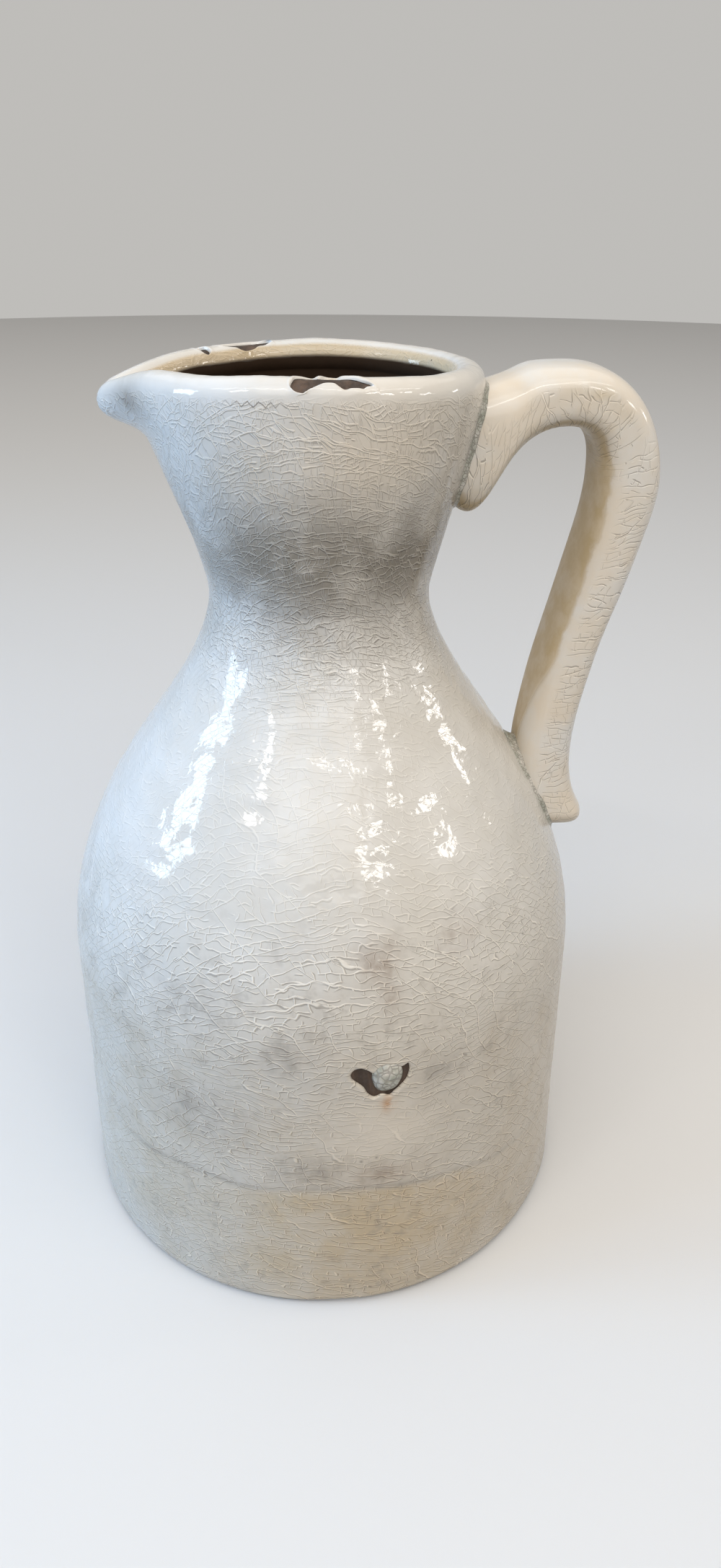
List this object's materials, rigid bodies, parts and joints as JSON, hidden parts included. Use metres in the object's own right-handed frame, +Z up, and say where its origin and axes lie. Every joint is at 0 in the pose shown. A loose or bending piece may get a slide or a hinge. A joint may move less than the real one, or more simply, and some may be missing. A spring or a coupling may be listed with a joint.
{
  "type": "pouring jug",
  "caption": "Tall crackle-glazed stoneware pouring jug with a straight-sided belly, narrow waist, flared collar, pulled lip and strap handle.",
  "frame": {"origin": "centre of the flat foot, on the body's axis", "axes": "+Z up along the body's axis, -X towards the lip, +X about towards the handle, which is set back by 5.5 degrees"},
  "size_m": [0.2069, 0.1916, 0.3147],
  "materials": {
    "clay": "bare fired clay, matt dark brown",
    "joint_slip": "slip in the joint, covered by pooled greenish glaze",
    "body_glaze": "glossy off-white glaze with raised crackle and grey dirt",
    "neck_glaze": "glossy off-white glaze with fine crackle, smooth at the rim",
    "handle_glaze": "glossy warm cream glaze, stained tan on the inner face",
    "pooled_glaze": "thick grey-green glaze with fine crackle"
  },
  "bodies": {
    "root": {"body": "clay", "neck": "clay", "handle": "clay", "upper_joint_slip": "joint_slip", "lower_joint_slip": "joint_slip", "body_glaze": "body_glaze", "neck_glaze": "neck_glaze", "handle_glaze": "handle_glaze", "glaze_bead": "pooled_glaze"}
  },
  "joints": []
}
